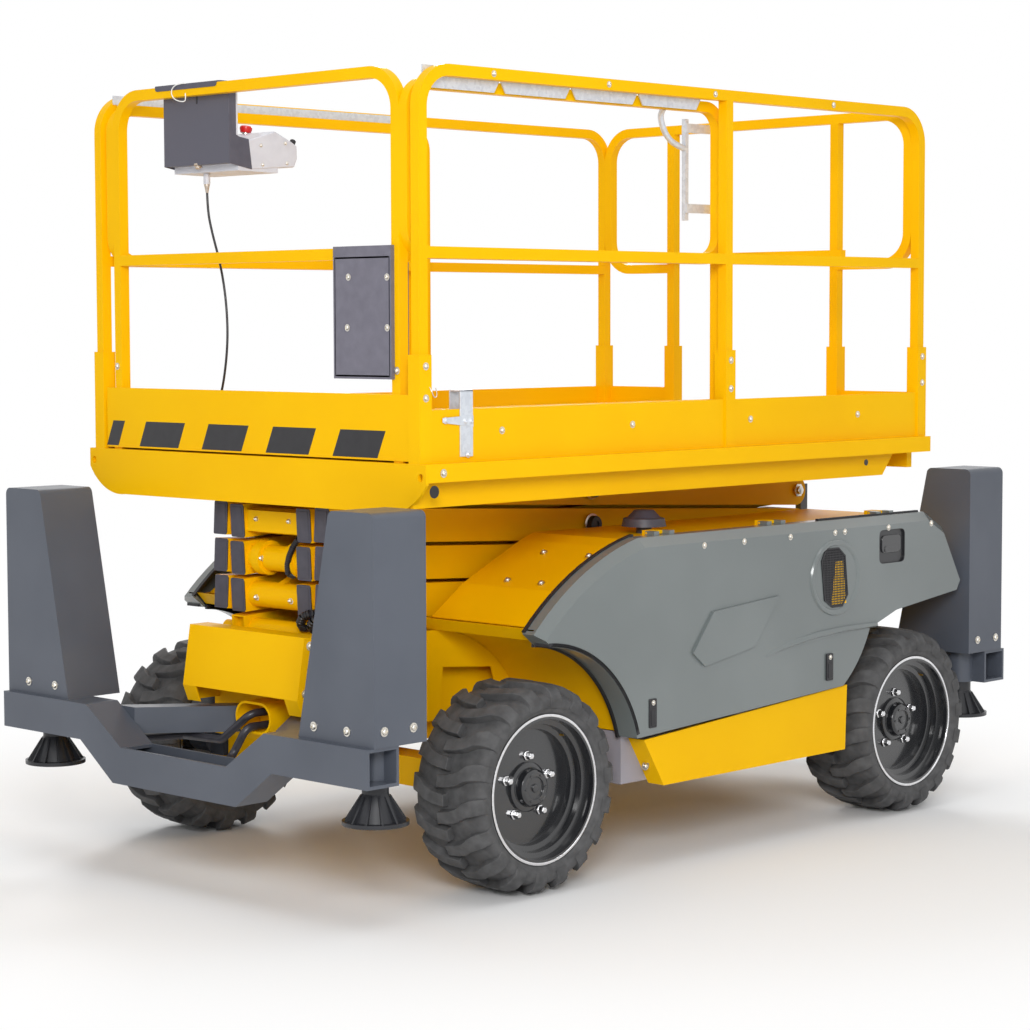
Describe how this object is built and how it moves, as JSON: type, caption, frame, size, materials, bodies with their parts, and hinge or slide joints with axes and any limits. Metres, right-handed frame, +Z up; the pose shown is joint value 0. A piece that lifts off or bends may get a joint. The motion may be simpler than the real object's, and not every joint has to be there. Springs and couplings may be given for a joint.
{
  "type": "rough terrain scissor lift",
  "caption": "Self-propelled scissor lift with a guard-railed sliding platform, folding arm stack, lugged tyres and corner stabiliser jacks.",
  "frame": {"origin": "on the ground at the middle of the machine's box", "axes": "+X forward, +Y to the left side, +Z up"},
  "size_m": [3.24, 1.8, 2.5394],
  "materials": {
    "yellow_paint": "satin yellow machine paint",
    "light_grey_paint": "light grey frame paint",
    "hood_grey": "gloss grey",
    "dark_grey_paint": "dark blue-grey satin paint",
    "engine_black": "dark engine paint",
    "galvanised": "zinc plated",
    "chrome_rod": "polished hard chrome",
    "panel_grey": "light grey powder coat",
    "grey_plastic": "grained grey plastic",
    "black_rubber": "matt black rubber",
    "tyre_rubber": "matt dark rubber",
    "gloss_black": "gloss black wheel paint",
    "jack_black": "satin black"
  },
  "bodies": {
    "chassis": {"chassis_frame": "yellow_paint", "front_guard": "yellow_paint", "cowls": "yellow_paint", "sill_panels": "yellow_paint", "engine_block": "engine_black", "axles": "yellow_paint", "stabiliser_beams": "dark_grey_paint", "jack_housings": "dark_grey_paint", "rear_ladder": "dark_grey_paint", "outriggers": "light_grey_paint", "filler_cap": "grey_plastic", "front_hoses": "black_rubber"},
    "deck": {"deck_frame": "yellow_paint", "deck_bumper": "yellow_paint", "side_guardrails": "yellow_paint", "rear_guardrail": "yellow_paint", "rail_guides": "galvanised"},
    "extension": {"extension_deck": "yellow_paint", "extension_rail": "yellow_paint", "lock_handle": "galvanised", "control_box": "panel_grey", "document_box": "grey_plastic", "cable_gland": "black_rubber", "control_cable": "black_rubber"},
    "gate_bar": {"gate_bar": "yellow_paint"},
    "lift_barrel": {"lift_barrel": "yellow_paint"},
    "lift_rod": {"lift_rod": "chrome_rod"},
    "hood_left": {"hood_left": "hood_grey"},
    "knuckle_left": {"knuckle_left": "dark_grey_paint"},
    "hood_right": {"hood_right": "hood_grey"},
    "knuckle_right": {"knuckle_right": "dark_grey_paint"},
    "wheel_front_left": {"tyre_front_left": "tyre_rubber", "rim_front_left": "gloss_black"},
    "jack_leg_front_left": {"jack_leg_front_left": "jack_black"},
    "wheel_front_right": {"tyre_front_right": "tyre_rubber", "rim_front_right": "gloss_black"},
    "jack_leg_front_right": {"jack_leg_front_right": "jack_black"},
    "wheel_rear_left": {"tyre_rear_left": "tyre_rubber", "rim_rear_left": "gloss_black"},
    "jack_leg_rear_left": {"jack_leg_rear_left": "jack_black"},
    "wheel_rear_right": {"tyre_rear_right": "tyre_rubber", "rim_rear_right": "gloss_black"},
    "jack_leg_rear_right": {"jack_leg_rear_right": "jack_black"},
    "outer_arm_1": {"outer_arm_1": "yellow_paint"},
    "inner_arm_1": {"inner_arm_1": "yellow_paint"},
    "outer_arm_2": {"outer_arm_2": "yellow_paint"},
    "inner_arm_2": {"inner_arm_2": "yellow_paint"},
    "outer_arm_3": {"outer_arm_3": "yellow_paint"},
    "inner_arm_3": {"inner_arm_3": "yellow_paint"},
    "outer_arm_4": {"outer_arm_4": "yellow_paint"},
    "inner_arm_4": {"inner_arm_4": "yellow_paint"}
  },
  "joints": [
    {"name": "scissor_lift", "type": "hinge", "parent": "chassis", "child": "outer_arm_1", "pos_m": [-1.15, 0, 0.77], "axis": [0, -1, 0], "range_deg": [0, 49]},
    {"name": "scissor_centre_1", "type": "hinge", "parent": "outer_arm_1", "child": "inner_arm_1", "pos_m": [0.00342, 0, 0.83045], "axis": [0, 1, 0], "range_deg": [0, 98]},
    {"name": "scissor_front_2", "type": "hinge", "parent": "outer_arm_1", "child": "inner_arm_2", "pos_m": [1.15683, 0, 0.8909], "axis": [0, 1, 0], "range_deg": [0, 98]},
    {"name": "scissor_centre_2", "type": "hinge", "parent": "inner_arm_2", "child": "outer_arm_2", "pos_m": [0.00342, 0, 0.95134], "axis": [0, -1, 0], "range_deg": [0, 98]},
    {"name": "scissor_rear_3", "type": "hinge", "parent": "inner_arm_2", "child": "outer_arm_3", "pos_m": [-1.15, 0, 1.01179], "axis": [0, -1, 0], "range_deg": [0, 98]},
    {"name": "scissor_centre_3", "type": "hinge", "parent": "outer_arm_3", "child": "inner_arm_3", "pos_m": [0.00342, 0, 1.07224], "axis": [0, 1, 0], "range_deg": [0, 98]},
    {"name": "scissor_front_4", "type": "hinge", "parent": "outer_arm_3", "child": "inner_arm_4", "pos_m": [1.15683, 0, 1.13269], "axis": [0, 1, 0], "range_deg": [0, 98]},
    {"name": "scissor_centre_4", "type": "hinge", "parent": "inner_arm_4", "child": "outer_arm_4", "pos_m": [0.00342, 0, 1.19314], "axis": [0, -1, 0], "range_deg": [0, 98]},
    {"name": "platform_pivot", "type": "hinge", "parent": "inner_arm_4", "child": "deck", "pos_m": [-1.15, 0, 1.25358], "axis": [0, -1, 0], "range_deg": [0, 49]},
    {"name": "lift_cylinder_swing", "type": "hinge", "parent": "chassis", "child": "lift_barrel", "pos_m": [-1.05, 0, 0.67], "axis": [0, -1, 0], "range_deg": [0, 50.42]},
    {"name": "lift_cylinder_stroke", "type": "slide", "parent": "lift_barrel", "child": "lift_rod", "axis": [0.9903, 0, 0.1388], "range_m": [0, 0.3566]},
    {"name": "steer_left", "type": "hinge", "parent": "chassis", "child": "knuckle_left", "pos_m": [0.86, 0.665, 0.33], "axis": [0, 0, 1], "range_deg": [-30, 30]},
    {"name": "steer_right", "type": "hinge", "parent": "chassis", "child": "knuckle_right", "pos_m": [0.86, -0.665, 0.33], "axis": [0, 0, 1], "range_deg": [-30, 30]},
    {"name": "wheel_spin_front_left", "type": "hinge", "parent": "knuckle_left", "child": "wheel_front_left", "pos_m": [0.86, 0.7475, 0.33], "axis": [0, 1, 0], "continuous": true},
    {"name": "wheel_spin_front_right", "type": "hinge", "parent": "knuckle_right", "child": "wheel_front_right", "pos_m": [0.86, -0.7475, 0.33], "axis": [0, 1, 0], "continuous": true},
    {"name": "wheel_spin_rear_left", "type": "hinge", "parent": "chassis", "child": "wheel_rear_left", "pos_m": [-1.06, 0.7475, 0.33], "axis": [0, 1, 0], "continuous": true},
    {"name": "wheel_spin_rear_right", "type": "hinge", "parent": "chassis", "child": "wheel_rear_right", "pos_m": [-1.06, -0.7475, 0.33], "axis": [0, 1, 0], "continuous": true},
    {"name": "jack_front_left", "type": "slide", "parent": "chassis", "child": "jack_leg_front_left", "axis": [0, 0, -1], "range_m": [0, 0.43]},
    {"name": "jack_front_right", "type": "slide", "parent": "chassis", "child": "jack_leg_front_right", "axis": [0, 0, -1], "range_m": [0, 0.43]},
    {"name": "jack_rear_left", "type": "slide", "parent": "chassis", "child": "jack_leg_rear_left", "axis": [0, 0, -1], "range_m": [0, 0.43]},
    {"name": "jack_rear_right", "type": "slide", "parent": "chassis", "child": "jack_leg_rear_right", "axis": [0, 0, -1], "range_m": [0, 0.43]},
    {"name": "hood_open_left", "type": "hinge", "parent": "chassis", "child": "hood_left", "pos_m": [0, 0.801, 1.087], "axis": [1, 0, 0], "range_deg": [0, 75]},
    {"name": "hood_open_right", "type": "hinge", "parent": "chassis", "child": "hood_right", "pos_m": [0, -0.801, 1.087], "axis": [-1, 0, 0], "range_deg": [0, 75]},
    {"name": "gate_lift", "type": "slide", "parent": "deck", "child": "gate_bar", "axis": [0, 0, 1], "range_m": [0, 0.42]},
    {"name": "extension_slide", "type": "slide", "parent": "deck", "child": "extension", "axis": [1, 0, 0], "range_m": [0, 0.92]}
  ],
  "couplings": [
    {"joint": "scissor_centre_1", "follows": "scissor_lift", "ratio": 2},
    {"joint": "scissor_front_2", "follows": "scissor_lift", "ratio": 2},
    {"joint": "scissor_centre_2", "follows": "scissor_lift", "ratio": 2},
    {"joint": "scissor_rear_3", "follows": "scissor_lift", "ratio": 2},
    {"joint": "scissor_centre_3", "follows": "scissor_lift", "ratio": 2},
    {"joint": "scissor_front_4", "follows": "scissor_lift", "ratio": 2},
    {"joint": "scissor_centre_4", "follows": "scissor_lift", "ratio": 2},
    {"joint": "platform_pivot", "follows": "scissor_lift", "ratio": 1},
    {"joint": "lift_cylinder_swing", "follows": "scissor_lift", "ratio": 1.0289},
    {"joint": "lift_cylinder_stroke", "follows": "scissor_lift", "m_per_rad": 0.41696},
    {"joint": "steer_right", "follows": "steer_left", "ratio": 1}
  ]
}
